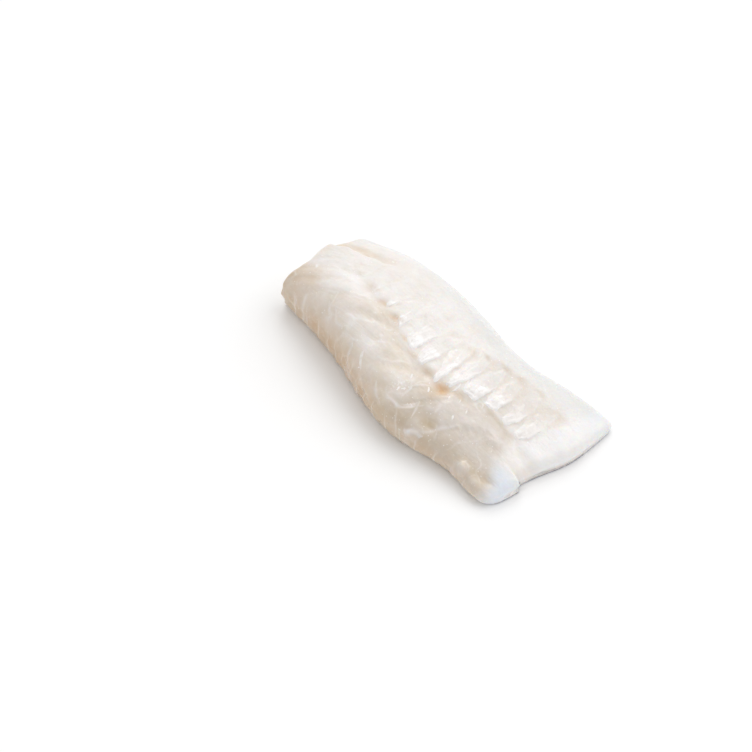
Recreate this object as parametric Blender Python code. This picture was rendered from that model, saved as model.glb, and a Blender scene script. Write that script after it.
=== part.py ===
"""A cod loin: a thick skinless fillet portion, lying on its skin side.

Metres, +Z up. X runs along the portion from its thick cut end to its thin end, Y across it.
The origin is the middle of the footprint, on the surface that the portion lies on.
"""
import math

import bpy
import numpy as np

MM = 0.001

# Driving dimensions ---------------------------------------------------------------------
LENGTH = 150 * MM
# Seven cross sections at equal steps, from the thick end to the thin end.
BELLY_EDGE = np.array([-25.0, -28.8, -33.9, -41.0, -44.0, -40.2, -43.0]) * MM
BACK_EDGE = np.array([24.8, 28.7, 29.3, 28.4, 24.8, 28.7, 30.6]) * MM
THICKNESS = np.array([22.1, 28.3, 30.8, 25.8, 20.4, 14.5, 6.8]) * MM
CUT_SKEW = (0.110, 0.137)          # how far the thick and the thin end lean along X per metre of Y
# How far the two end cuts stand out past a straight line, at these places across.
THICK_CUT_Y = np.array([-30, -20, -9, 4, 10, 18, 30]) * MM
THICK_CUT_REACH = np.array([1.6, -0.8, -1.5, 1.4, -1.2, 0.6, 2.7]) * MM
THIN_CUT_Y = np.array([-42, -30, -15, 0, 15, 32]) * MM
THIN_CUT_REACH = np.array([-1.5, -0.6, -0.3, 2.0, 0.7, -2.8]) * MM

# Cross section: a flat underside, a round lower corner, and a full, flattened top.
FLAT_SHARE = 0.86                  # share of the half width that lies flat
WIDEST_AT = (0.30, 0.34)           # height of the widest point over the thickness, back and belly side
FULLNESS = 2.5                     # superellipse power of the top
CROWN_LEAN = -0.10                 # the crown leans to the belly side

# Rounding where the top and the sides turn into the cut ends.
THICK_END_RADIUS = (5.0 * MM, 2.4 * MM, 2.0 * MM)    # back side, top, belly side
THIN_END_RADIUS = (3.0 * MM, 4.0 * MM, 8.0 * MM)
ROUNDING_ROOM = 0.8                # share of the height over the widest points that it may take
UNDER_RADIUS = 0.5 * MM
FACE_HEIGHT = 0.30                 # an end face's middle as a share of the thickness there

# The seam where the back muscle meets the belly muscle, from end to end.
SEAM_X = np.array([-75, -47, -34, -20, -3, 12, 22, 30, 45, 61, 74]) * MM
SEAM_Y = np.array([2.0, -3.0, -7.8, -11.2, -16.5, -20.0, -20.5, -15.5, -11.3, -12.7, -14.0]) * MM
SEAM_FROM = (-55 * MM, -30 * MM)   # the seam opens between these places
SEAM_DEPTH = 0.7 * MM
SEAM_WIDTH = 3.2 * MM

# Flakes of the back muscle, overlapping like shingles. Each row, in millimetres: place of the
# tip's front corner (x, y), width of the tip, how far its back corner is set off, length of
# the flake, drift of its free edge over that length, bow of the edge, and height of the edge.
FLAKES = np.array([
    (-42.0, -5.5, 3.0, 1.0, 12.0, -1.0, 0.5, 0.20),
    (-30.5, -9.2, 3.0, 1.5, 13.0, -1.5, 0.5, 0.25),
    (-19.3, -11.3, 2.4, 1.4, 13.0, 0.8, 0.2, 0.30),
    (-8.7, -13.8, 3.0, 1.4, 14.0, -0.2, 0.1, 0.35),
    (3.3, -17.5, 5.8, 2.3, 23.3, 0.2, 0.4, 0.55),
    (11.6, -19.5, 4.2, 1.2, 23.4, -2.1, 1.3, 0.55),
    (21.2, -20.2, 1.8, 0.8, 26.0, -5.7, 2.0, 0.65),
    (26.8, -17.4, 2.4, 0.2, 24.3, -2.3, 2.1, 0.65),
    (36.8, -13.6, 6.2, -0.4, 20.6, -4.3, 2.4, 0.75),
    (45.2, -10.4, 4.9, -0.7, 18.2, -3.7, 1.9, 0.70),
    (52.9, -11.4, 3.3, 0.9, 20.2, -1.9, 2.6, 0.65),
    (61.2, -12.3, 4.0, 1.4, 22.2, -1.2, 2.5, 0.60),
]) * MM
FLAKE_PITCH = 9.0 * MM
FLAKE_TAIL = 0.15                  # height left where a flake comes out from under the next one
TIP_SHARE = 0.35                   # height of a flake at its tip as a share of its full height
THICKENS_OVER = 5 * MM             # and the length over which it thickens
# Share of each flake's length where its edge begins to sink away, and over which it does.
MELTS_FROM = np.array([0.20, 0.20, 0.20, 0.20, 0.18, 0.22, 0.42, 0.36, 0.30, 0.30, 0.25, 0.22])
MELTS_OVER = 0.45
NOTCH_SLOPE = 2.4                  # how fast a tip falls back beside the next one
FOOT_DEPTH = 0.25 * MM             # hollow in front of a flake's free edge
FOOT_WIDTH = 1.6 * MM
WEDGE_FROM = 0.52                  # share of a flake's length where the gap before it opens
WEDGE_SPREAD = 0.62                # and how much wider it gets for each millimetre up
WEDGE_DEPTH = 0.25 * MM
EDGE_SOFTNESS = 1.0 * MM
FADING_EDGE = 2.0                  # an edge gets this much softer towards the far end

# Seams between the blocks of the belly muscle, met at the main seam at these places.
BLOCK_SEAMS = np.array([-55, -42, -31, -20, -9, 4, 16, 27, 38, 48, 58]) * MM
BLOCK_LEAN = (1.7, 0.5)            # how far they run back to the thick end per metre of Y, at each end
BLOCK_DEPTH = 0.22 * MM
BLOCK_WIDTH = 2.6 * MM

# The groove along the back at the thick end, with a raised lip on its belly side.
GROOVE_X = np.array([-75, -66, -51, -37, -20]) * MM
GROOVE_Y = np.array([4.5, 6.0, 7.0, 8.6, 8.4]) * MM
GROOVE_END = (-60 * MM, -36 * MM)  # the groove fades out between these places
GROOVE_LIP = 0.9 * MM
GROOVE_BEHIND = 9.0 * MM           # how far back the lip slopes down
GROOVE_DEPTH = 0.7 * MM
GROOVE_WIDTH = 2.4 * MM

# Low swellings and hollows: x, y, radius along X, radius along Y and height, in millimetres.
SWELLINGS = np.array([
    (58.5, -38.0, 3.0, 2.4, 1.3),
    (65.8, -38.8, 3.4, 2.2, 1.1),
    (69.0, -34.0, 2.4, 1.8, -0.8),
    (35.0, -35.0, 4.5, 3.2, -1.0),
    (15.5, -20.3, 3.8, 2.6, -1.2),
    (25.2, -20.6, 3.4, 3.6, -1.5),
    (27.0, -36.0, 1.6, 5.0, -0.5),
    (38.0, -27.0, 11.0, 8.0, 0.6),
    (3.0, -32.0, 9.0, 6.0, 0.5),
    (-36.0, -19.0, 12.0, 8.0, 0.6),
    (-22.5, -10.8, 2.6, 1.8, -0.5),
    (-13.5, -12.3, 2.8, 1.8, -0.6),
    (68.0, -3.0, 7.0, 22.0, 0.6),
    (-44.0, 18.0, 27.0, 10.0, 1.9),
]) * MM

# The thin end's belly corner: a soft lobe that stands out past the end, with a notch beside it.
LOBE_REACH = 2.4 * MM
LOBE_SIDE = -24.0 * MM             # the notch's place across the end
LOBE_HEIGHT = 1.2 * MM
END_ZONE = 10 * MM

# Uneven surface: longest wave, its height, and the number of waves summed.
WAVE_LENGTH = 26 * MM
WAVE_HEIGHT = 0.35 * MM
WAVE_COUNT = 10
SEED = 7

# Mesh ----------------------------------------------------------------------------------
FLAKED_FROM = -14 * MM             # the closer rings start here
COARSE_STEP = 2.7 * MM
FINE_STEP = 1.30 * MM
END_TURN_RINGS = 4                 # rings over the rounding at each end
THICK_FACE_SCALES = (0.03, 0.38, 0.74)
THIN_FACE_SCALES = (0.94, 0.82, 0.65, 0.45, 0.24, 0.03)
TOP_POINTS = 46
CORNER_POINTS = 3
BASE_POINTS = 9

FLESH_COLOUR = (0.85, 0.80, 0.73, 1.0)
FLESH_ROUGHNESS = 0.32


def curve_through(knots, values, at):
    """Natural cubic curve through the points (knots, values), read at `at` and held past its ends."""
    gap = np.diff(knots)
    slope = np.diff(values) / gap
    count = len(knots)
    system = np.eye(count)
    turn = np.zeros(count)
    for i in range(1, count - 1):
        system[i, i - 1:i + 2] = gap[i - 1], 2 * (gap[i - 1] + gap[i]), gap[i]
        turn[i] = 6 * (slope[i] - slope[i - 1])
    bend = np.linalg.solve(system, turn)
    at = np.clip(at, knots[0], knots[-1])
    i = np.clip(np.searchsorted(knots, at) - 1, 0, count - 2)
    left = (knots[i + 1] - at) / gap[i]
    right = 1 - left
    cubic = (left ** 3 - left) * bend[i] + (right ** 3 - right) * bend[i + 1]
    return left * values[i] + right * values[i + 1] + cubic * gap[i] ** 2 / 6


def ease(value):
    """Smooth step from 0 to 1 while `value` goes from 0 to 1."""
    value = np.clip(value, 0.0, 1.0)
    return value * value * (3 - 2 * value)


def bump(distance, width):
    """Bell of height 1 that falls off over `width`."""
    return np.exp(-(distance / width) ** 2)


def waves(x, y):
    """Low uneven swell: plane waves of random direction and phase, shorter ones lower."""
    draw = np.random.default_rng(SEED)
    total = np.zeros(np.broadcast(x, y).shape)
    for i in range(WAVE_COUNT):
        length = WAVE_LENGTH * (0.35 + 0.65 * draw.random())
        heading, phase = draw.uniform(0, 2 * math.pi, 2)
        run = x * math.cos(heading) + y * math.sin(heading)
        total += length / WAVE_LENGTH * np.sin(2 * math.pi * run / length + phase)
    return WAVE_HEIGHT * total / math.sqrt(WAVE_COUNT)


def flakes(x, y):
    """Height of the overlapping flakes, and of the hollows in front of their free edges.

    A flake runs from its tip at the seam towards the back. It is thin at its tip, highest at its
    free edge, which faces the thin end, and slopes down behind it until the next flake covers
    it. The hollow in front of the edge opens into a wedge towards the back.
    """
    height = np.zeros(x.shape)
    foot = np.zeros(x.shape)
    wedge = np.zeros(x.shape)
    for (tip_x, tip_y, width, back, length, drift, bow, lift), melts in zip(FLAKES, MELTS_FROM):
        along = (y - tip_y) / length
        edge = tip_x + drift * along + 4 * bow * along * (1 - along)
        behind = edge - x
        end = tip_y + back * np.clip(behind / width, 0, 1) + NOTCH_SLOPE * np.maximum(0, behind - width)
        soft = EDGE_SOFTNESS * (1 + FADING_EDGE * np.clip(along, 0, 1) ** 2)
        cover = ease(0.5 + behind / soft) * ease(0.5 + (y - end) / EDGE_SOFTNESS)
        cover *= (1 - ease((along - melts) / MELTS_OVER)) * (behind < 1.6 * FLAKE_PITCH)
        slope = 1 - (1 - FLAKE_TAIL) * np.clip(behind / FLAKE_PITCH, 0, 1)
        slope *= TIP_SHARE + (1 - TIP_SHARE) * ease((y - end) / THICKENS_OVER)
        height = np.maximum(height, lift * slope * cover)
        strength = min(1.6 * lift / MM, 1)
        window = ease((along + 0.05) / 0.2) * (1 - ease((along - melts - 0.2) / 0.4)) * strength
        foot = np.maximum(foot, window * bump(behind + 0.7 * FOOT_WIDTH, FOOT_WIDTH))
        spread = WEDGE_SPREAD * np.maximum(along - WEDGE_FROM, 0) * length
        gap = ease(0.5 - behind / MM) * ease((spread + behind) / (2 * MM))
        wedge = np.maximum(wedge, strength * gap * (1 - ease((along - 0.9) / 0.25)))
    foot *= 1 - ease(height / (0.7 * MM))
    return height - FOOT_DEPTH * foot - WEDGE_DEPTH * wedge


def relief(x, y):
    """Height of everything that stands on the smooth form, over the plan."""
    aside = y - curve_through(SEAM_X, SEAM_Y, x)
    opened = ease((x - SEAM_FROM[0]) / (SEAM_FROM[1] - SEAM_FROM[0]))
    height = flakes(x, y) - SEAM_DEPTH * opened * bump(aside + 0.6 * SEAM_WIDTH, SEAM_WIDTH)

    lean = np.interp(x, (-LENGTH / 2, LENGTH / 2), BLOCK_LEAN)
    met_at = x + lean * np.maximum(-aside, 0)
    for place in BLOCK_SEAMS:
        height -= BLOCK_DEPTH * ease(-aside / (4 * MM)) * bump(met_at - place, BLOCK_WIDTH)

    past = y - curve_through(GROOVE_X, GROOVE_Y, x)
    strength = 1 - ease((x - GROOVE_END[0]) / (GROOVE_END[1] - GROOVE_END[0]))
    inner = ease(0.5 - past / EDGE_SOFTNESS) * np.exp(np.minimum(past, 0) / GROOVE_BEHIND)
    hollow = ease(past / MM + 0.5) * bump(past - 0.5 * GROOVE_WIDTH, GROOVE_WIDTH)
    height += strength * (GROOVE_LIP * inner - GROOVE_DEPTH * hollow)

    for at_x, at_y, wide_x, wide_y, rise in SWELLINGS:
        height += rise * np.exp(-((x - at_x) / wide_x) ** 2 - ((y - at_y) / wide_y) ** 2)
    lobe = ease((LOBE_SIDE - y) / EDGE_SOFTNESS + 0.5) * ease((x - LENGTH / 2 + END_ZONE) / END_ZONE)
    return height + LOBE_HEIGHT * lobe + waves(x, y)


def ring_places():
    """Distance of each ring from the thick end, and its scale: the end faces are smaller rings."""
    radius = max(THICK_END_RADIUS)
    start = radius * (1 - np.cos(np.linspace(0, math.pi / 2, END_TURN_RINGS + 1)))
    radius = max(THIN_END_RADIUS)
    finish = LENGTH - radius * (1 - np.cos(np.linspace(math.pi / 2, 0, END_TURN_RINGS + 1)))
    change = FLAKED_FROM + LENGTH / 2
    coarse = np.linspace(start[-1], change, round((change - start[-1]) / COARSE_STEP) + 1)
    fine = np.linspace(change, finish[0], round((finish[0] - change) / FINE_STEP) + 1)
    body = np.concatenate([start[:-1], coarse[:-1], fine, finish[1:]])
    thick_face, thin_face = np.array(THICK_FACE_SCALES), np.array(THIN_FACE_SCALES)
    distance = np.concatenate([0 * thick_face, body, LENGTH + 0 * thin_face])
    scale = np.concatenate([thick_face, np.ones(len(body)), thin_face])
    return distance[:, None], scale[:, None]


def rounding(distance, radius):
    """How far a surface is drawn in at `distance` from the end that it rounds into."""
    short = radius - np.minimum(distance, radius)
    return radius - np.sqrt(radius ** 2 - short ** 2)


def end_radius(radii, cosine, sine):
    """Rounding radius round a section: the back's on +Y, the top's above, the belly's on -Y."""
    side = np.where(cosine > 0, radii[0], radii[2])
    return side + (radii[1] - side) * np.clip(sine, 0, 1) ** 2


def section_points(distance):
    """Y and Z of the rings at `distance` from the thick end, before they are scaled.

    The top half is a superellipse over the widest points. Below them each side turns in by a
    quarter ellipse to the flat underside.
    """
    share = distance / LENGTH
    stations = np.linspace(0, 1, len(THICKNESS))
    belly = curve_through(stations, BELLY_EDGE, share)
    back = curve_through(stations, BACK_EDGE, share)
    thick = curve_through(stations, THICKNESS, share)
    middle = (belly + back) / 2
    half = (back - belly) / 2

    def drawn_in(cosine, sine):
        thick_end = rounding(distance, end_radius(THICK_END_RADIUS, cosine, sine))
        thin_end = rounding(LENGTH - distance, end_radius(THIN_END_RADIUS, cosine, sine))
        return np.maximum(thick_end, thin_end)

    turn = np.linspace(0, math.pi, TOP_POINTS)[None, :]
    cosine, sine = np.cos(turn), np.sin(turn)
    widest = np.where(cosine > 0, WIDEST_AT[0], WIDEST_AT[1]) * thick
    inset = drawn_in(cosine, sine)
    power = 2 / FULLNESS
    across = np.sign(cosine) * np.abs(cosine) ** power
    top_y = middle + (half - inset) * across
    room = ROUNDING_ROOM * (thick - widest) / end_radius(THIN_END_RADIUS, cosine, sine)
    drop = inset * np.minimum(room, 1)
    top_z = widest + (thick - drop - widest) * sine ** power * (1 + CROWN_LEAN * across)

    corner = np.linspace(0, math.pi / 2, CORNER_POINTS + 1)[1:]
    flat = np.linspace(-FLAT_SHARE, FLAT_SHARE, BASE_POINTS)[1:-1]
    belly_y = -(FLAT_SHARE + (1 - FLAT_SHARE) * np.cos(corner))
    back_y = -belly_y[::-1]
    under = np.concatenate([belly_y, flat, back_y])[None, :]
    lift = np.concatenate([1 - np.sin(corner), np.zeros(len(flat)), 1 - np.sin(corner[::-1])])[None, :]
    side = np.sign(under)
    widest = np.where(side > 0, WIDEST_AT[0], WIDEST_AT[1]) * thick
    under_y = middle + (half - drawn_in(side, 0.0)) * under
    end_lift = rounding(np.minimum(distance, LENGTH - distance), UNDER_RADIUS)
    under_z = widest * lift + end_lift * (1 - lift)

    upward = np.concatenate([ease(sine / 0.45), np.zeros(under.shape)], axis=1)
    y = np.concatenate([top_y, under_y], axis=1)
    z = np.concatenate([top_z, under_z], axis=1)
    return y, z, upward, middle, thick


def end_reach(y, distance):
    """How far a point moves along X because the end cuts aren't straight."""
    thick_end = curve_through(THICK_CUT_Y, THICK_CUT_REACH, y)
    lobe = LOBE_REACH * ease((LOBE_SIDE - y) / EDGE_SOFTNESS + 0.5)
    thin_end = curve_through(THIN_CUT_Y, THIN_CUT_REACH, y) + lobe
    near_thin_end = ease(1 - (LENGTH - distance) / END_ZONE)
    return thin_end * near_thin_end - thick_end * ease(1 - distance / END_ZONE)


def held_under_rim(y, z, scale, level):
    """Heights of the end faces' points, none of them over the rim of their face, nor folded over it.

    A point may reach as far over `level` as the rim beside it, less what its ring is scaled by.
    """
    body = np.flatnonzero(scale[:, 0] == 1)
    held = z.copy()
    for rim, rings in ((body[0], range(body[0])), (body[-1], range(body[-1] + 1, len(z)))):
        order = np.argsort(y[rim, :TOP_POINTS])
        for ring in rings:
            limit = np.interp(y[ring], y[rim, :TOP_POINTS][order], z[rim, :TOP_POINTS][order])
            reach = (limit - level[ring]) * (0.2 + 0.8 * scale[ring])
            held[ring] = np.minimum(z[ring], level[ring] + reach)
    return held


def loin_points():
    """Points of all rings, with the middle of the footprint at the origin.

    The array is rings by points round the ring by three.
    """
    distance, scale = ring_places()
    y, z, upward, middle, thick = section_points(distance)
    x = distance - LENGTH / 2 + np.zeros(y.shape)
    z = z + upward * relief(x, y)
    y = middle + (y - middle) * scale
    level = FACE_HEIGHT * thick
    z = held_under_rim(y, level + (z - level) * scale, scale, level)
    share = distance / LENGTH
    x = x + y * (CUT_SKEW[0] * (1 - share) + CUT_SKEW[1] * share)
    x += end_reach(y, distance)
    x -= (x.min() + x.max()) / 2
    y -= (y.min() + y.max()) / 2
    return np.stack([x, y, np.maximum(z, 0)], axis=-1)


def loin_mesh():
    """Closed mesh: quads between neighbouring rings, each split, and a fan on both end faces."""
    points = loin_points()
    rings, around = points.shape[:2]
    ends = points[[0, -1]].mean(axis=1)
    index = np.arange(rings * around).reshape(rings, around)
    a, b = index[:-1], index[1:]
    a_next, b_next = np.roll(a, -1, axis=1), np.roll(b, -1, axis=1)
    walls = np.concatenate([np.stack([a, b_next, b], -1).reshape(-1, 3),
                            np.stack([a, a_next, b_next], -1).reshape(-1, 3)])
    first, last = rings * around, rings * around + 1
    near, far = index[0], index[-1]
    fans = np.concatenate([np.stack([np.full(around, first), np.roll(near, -1), near], -1),
                           np.stack([np.full(around, last), far, np.roll(far, -1)], -1)])
    mesh = bpy.data.meshes.new("cod_loin")
    vertices = np.concatenate([points.reshape(-1, 3), ends])
    mesh.from_pydata(vertices.tolist(), [], np.concatenate([walls, fans]).tolist())
    mesh.shade_smooth()
    return mesh


def flesh_material():
    """Raw cod: a moist, slightly warm white."""
    material = bpy.data.materials.new("cod_flesh")
    material.use_nodes = True
    shader = material.node_tree.nodes["Principled BSDF"]
    shader.inputs["Base Color"].default_value = FLESH_COLOUR
    shader.inputs["Roughness"].default_value = FLESH_ROUGHNESS
    shader.inputs["Metallic"].default_value = 0.0
    return material


def build():
    for old in list(bpy.data.objects):
        bpy.data.objects.remove(old, do_unlink=True)
    mesh = loin_mesh()
    mesh.materials.append(flesh_material())
    bpy.context.collection.objects.link(bpy.data.objects.new("cod_loin", mesh))


build()
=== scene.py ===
"""A raw cod loin portion on a pale table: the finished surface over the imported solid.

The body, flakes and relief are worked out in section coordinates: x runs along the loin from -75
to 75 mm, towards the thin end, y goes across it towards the back, and z up.
"""

import math

import bpy
import mathutils
import numpy as np
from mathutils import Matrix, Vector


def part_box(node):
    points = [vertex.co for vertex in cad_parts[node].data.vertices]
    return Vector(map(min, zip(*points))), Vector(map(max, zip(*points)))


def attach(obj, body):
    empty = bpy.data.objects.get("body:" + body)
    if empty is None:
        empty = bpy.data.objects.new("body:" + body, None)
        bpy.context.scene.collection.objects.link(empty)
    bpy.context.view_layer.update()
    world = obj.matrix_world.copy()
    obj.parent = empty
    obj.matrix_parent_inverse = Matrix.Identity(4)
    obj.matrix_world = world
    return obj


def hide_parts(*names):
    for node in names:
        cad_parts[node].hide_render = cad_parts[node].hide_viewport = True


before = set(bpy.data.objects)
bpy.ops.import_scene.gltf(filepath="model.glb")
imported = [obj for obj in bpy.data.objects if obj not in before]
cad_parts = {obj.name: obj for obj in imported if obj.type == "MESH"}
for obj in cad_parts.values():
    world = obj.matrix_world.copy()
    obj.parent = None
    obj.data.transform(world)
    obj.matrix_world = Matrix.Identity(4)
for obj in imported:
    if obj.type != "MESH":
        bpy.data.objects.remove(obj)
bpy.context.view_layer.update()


# 1. The loin's body -----------------------------------------------------------------------
# The thick back half of a cod's side, cut across at both ends and skinned. It lies on its skin
# side: the underside is flat and the top is full, thinning towards the tail end.

MM = 0.001                         # metres in a millimetre
LENGTH = 150 * MM                  # between the cuts
# Belly edge and back edge across, and thickness, at seven even stations from the thick end.
BELLY_EDGE = np.array([-25.0, -28.8, -33.9, -41.0, -44.0, -40.2, -43.0]) * MM
BACK_EDGE = np.array([24.8, 28.7, 29.3, 28.4, 24.8, 28.7, 30.6]) * MM
THICKNESS = np.array([22.1, 28.3, 30.8, 25.8, 20.4, 14.5, 6.8]) * MM
# Slant of the thick and the thin cut, and how far each strays from it at places across.
CUT_SKEW = (0.110, 0.137)
THICK_CUT_Y = np.array([-30, -20, -9, 4, 10, 18, 30]) * MM
THICK_CUT_REACH = np.array([1.6, -0.8, -1.5, 1.4, -1.2, 0.6, 2.7]) * MM
THIN_CUT_Y = np.array([-42, -30, -15, 0, 15, 32]) * MM
THIN_CUT_REACH = np.array([-1.5, -0.6, -0.3, 2.0, 0.7, -2.8]) * MM
LOBE_REACH = 2.4 * MM              # how far the thin corner's lobe reaches past the cut
LOBE_SIDE = -24.0 * MM             # where it begins across
LOBE_HEIGHT = 1.2 * MM
END_ZONE = 10 * MM                 # the cuts' shape fades out over this length
FLAT_SHARE = 0.86                  # share of the width that lies flat
WIDEST_AT = (0.30, 0.34)           # height of the widest points, back and belly, by thickness
FULLNESS = 2.5                     # 2 is an ellipse, more is squarer
CROWN_LEAN = -0.10                 # the top stands higher on the belly side
THICK_END_RADIUS = (5.0 * MM, 2.4 * MM, 2.0 * MM)   # at the back, the top and the belly
THIN_END_RADIUS = (3.0 * MM, 4.0 * MM, 8.0 * MM)
ROUNDING_ROOM = 0.8                # share of the height over the widest points that it may take
UNDER_RADIUS = 0.5 * MM            # rounding of the ends' lower edges
FACE_HEIGHT = 0.30                 # an end face's middle as a share of the thickness there

# The net of the fine surface: rings across, closer where the flakes are.
FLAKED_FROM = -14 * MM
COARSE_STEP = 0.62 * MM
FINE_STEP = 0.36 * MM
END_TURN_RINGS = 10
THICK_FACE_SCALES = np.linspace(0.02, 0.94, 12)
THIN_FACE_SCALES = np.linspace(0.97, 0.02, 14)
TOP_POINTS = 200
CROWN_CLOSENESS = 0.35             # the points are this much closer on the crown
CORNER_POINTS = 8
BASE_POINTS = 24
EDGE_SOFTNESS = 0.5 * MM           # a step between two levels is this wide


def curve_through(knots, values, at):
    """Natural cubic curve through the points (knots, values), read at `at` and held past its ends."""
    gap = np.diff(knots)
    slope = np.diff(values) / gap
    count = len(knots)
    system = np.eye(count)
    turn = np.zeros(count)
    for i in range(1, count - 1):
        system[i, i - 1:i + 2] = gap[i - 1], 2 * (gap[i - 1] + gap[i]), gap[i]
        turn[i] = 6 * (slope[i] - slope[i - 1])
    bend = np.linalg.solve(system, turn)
    at = np.clip(at, knots[0], knots[-1])
    i = np.clip(np.searchsorted(knots, at) - 1, 0, count - 2)
    left = (knots[i + 1] - at) / gap[i]
    right = 1 - left
    cubic = (left ** 3 - left) * bend[i] + (right ** 3 - right) * bend[i + 1]
    return left * values[i] + right * values[i + 1] + cubic * gap[i] ** 2 / 6


def ease(value):
    """Smooth step from 0 to 1 while `value` goes from 0 to 1."""
    value = np.clip(value, 0.0, 1.0)
    return value * value * (3 - 2 * value)


def bump(distance, width):
    """Bell of height 1 that falls off over `width`."""
    return np.exp(-(distance / width) ** 2)


def swell(x, y, longest, shortest, seed, count=10):
    """Sum of plane waves of random heading, phase and length between the two lengths, about -1 to 1."""
    draw = np.random.default_rng(seed)
    total = np.zeros(np.broadcast(x, y).shape)
    for i in range(count):
        length = shortest + (longest - shortest) * draw.random()
        heading, phase = draw.uniform(0, 2 * math.pi, 2)
        run = x * math.cos(heading) + y * math.sin(heading)
        total += length / longest * np.sin(2 * math.pi * run / length + phase)
    return total / math.sqrt(count)


def ring_places():
    """Distance of each ring from the thick end, and its scale: the end faces are smaller rings."""
    start = max(THICK_END_RADIUS) * (1 - np.cos(np.linspace(0, math.pi / 2, END_TURN_RINGS + 1)))
    finish = LENGTH - max(THIN_END_RADIUS) * (1 - np.cos(np.linspace(math.pi / 2, 0, END_TURN_RINGS + 1)))
    change = FLAKED_FROM + LENGTH / 2
    coarse = np.linspace(start[-1], change, round((change - start[-1]) / COARSE_STEP) + 1)
    fine = np.linspace(change, finish[0], round((finish[0] - change) / FINE_STEP) + 1)
    body = np.concatenate([start[:-1], coarse[:-1], fine, finish[1:]])
    distance = np.concatenate([0 * THICK_FACE_SCALES, body, LENGTH + 0 * THIN_FACE_SCALES])
    scale = np.concatenate([THICK_FACE_SCALES, np.ones(len(body)), THIN_FACE_SCALES])
    return distance[:, None], scale[:, None]


def rounding(distance, radius):
    """How far a surface is drawn in at `distance` from the end that it rounds into."""
    short = radius - np.minimum(distance, radius)
    return radius - np.sqrt(radius ** 2 - short ** 2)


def end_radius(radii, across, height):
    """Rounding radius round a section: the back's on +Y, the top's above, the belly's on -Y."""
    side = np.where(across > 0, radii[0], radii[2])
    return side + (radii[1] - side) * height ** 2


def section_points(distance):
    """Y and Z of the rings before relief, how far each point faces up, and the ring's middle and height.

    The top half is a superellipse over the widest points. Below them each side turns in by a
    quarter ellipse to the flat underside.
    """
    share = distance / LENGTH
    stations = np.linspace(0, 1, len(THICKNESS))
    belly = curve_through(stations, BELLY_EDGE, share)
    back = curve_through(stations, BACK_EDGE, share)
    thick = curve_through(stations, THICKNESS, share)
    middle = (belly + back) / 2
    half = (back - belly) / 2

    def drawn_in(across, height):
        thick_end = rounding(distance, end_radius(THICK_END_RADIUS, across, height))
        thin_end = rounding(LENGTH - distance, end_radius(THIN_END_RADIUS, across, height))
        return np.maximum(thick_end, thin_end)

    step = np.linspace(0, 1, TOP_POINTS)[None, :]
    turn = math.pi * step + CROWN_CLOSENESS / 2 * np.sin(2 * math.pi * step)
    across = np.cos(turn)
    height = (1 - np.abs(across) ** FULLNESS) ** (1 / FULLNESS)
    widest = np.where(across > 0, WIDEST_AT[0], WIDEST_AT[1]) * thick
    inset = drawn_in(across, height)
    top_y = middle + (half - inset) * across
    room = ROUNDING_ROOM * (thick - widest) / end_radius(THIN_END_RADIUS, across, height)
    drop = inset * np.minimum(room, 1)
    top_z = widest + (thick - drop - widest) * height * (1 + CROWN_LEAN * across)

    corner = np.linspace(0, math.pi / 2, CORNER_POINTS + 1)[1:]
    flat = np.linspace(-FLAT_SHARE, FLAT_SHARE, BASE_POINTS)[1:-1]
    belly_y = -(FLAT_SHARE + (1 - FLAT_SHARE) * np.cos(corner))
    under = np.concatenate([belly_y, flat, -belly_y[::-1]])[None, :]
    lift = np.concatenate([1 - np.sin(corner), np.zeros(len(flat)), 1 - np.sin(corner[::-1])])[None, :]
    side = np.sign(under)
    widest = np.where(side > 0, WIDEST_AT[0], WIDEST_AT[1]) * thick
    under_y = middle + (half - drawn_in(side, 0.0)) * under
    end_lift = rounding(np.minimum(distance, LENGTH - distance), UNDER_RADIUS)
    under_z = widest * lift + end_lift * (1 - lift)

    upward = np.concatenate([ease(height / 0.45), np.zeros(under.shape)], axis=1)
    y = np.concatenate([top_y, under_y], axis=1)
    z = np.concatenate([top_z, under_z], axis=1)
    return y, z, upward, middle, thick


def end_reach(y, distance):
    """How far a point moves along X because the end cuts aren't straight."""
    thick_end = curve_through(THICK_CUT_Y, THICK_CUT_REACH, y)
    lobe = LOBE_REACH * ease((LOBE_SIDE - y) / (2 * EDGE_SOFTNESS) + 0.5)
    thin_end = curve_through(THIN_CUT_Y, THIN_CUT_REACH, y) + lobe
    near_thin_end = ease(1 - (LENGTH - distance) / END_ZONE)
    return thin_end * near_thin_end - thick_end * ease(1 - distance / END_ZONE)


# 2. The flakes ------------------------------------------------------------------------------
# Sheets of muscle, 6 to 13 mm apart, that part from each other along the seam between the back
# and the belly. Each lies over the next like a shingle, with its free edge to the thin end.

SEAM_X = np.array([-75, -47, -34, -20, -3, 12, 22, 30, 45, 61, 74]) * MM
SEAM_Y = np.array([2.0, -3.0, -7.8, -11.2, -16.5, -20.0, -20.5, -15.5, -11.3, -12.7, -14.0]) * MM
SEAM_FROM = (-55 * MM, -30 * MM)   # the trough along the seam opens between these places
SEAM_DEPTH = 0.7 * MM
SEAM_WIDTH = 3.2 * MM
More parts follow.
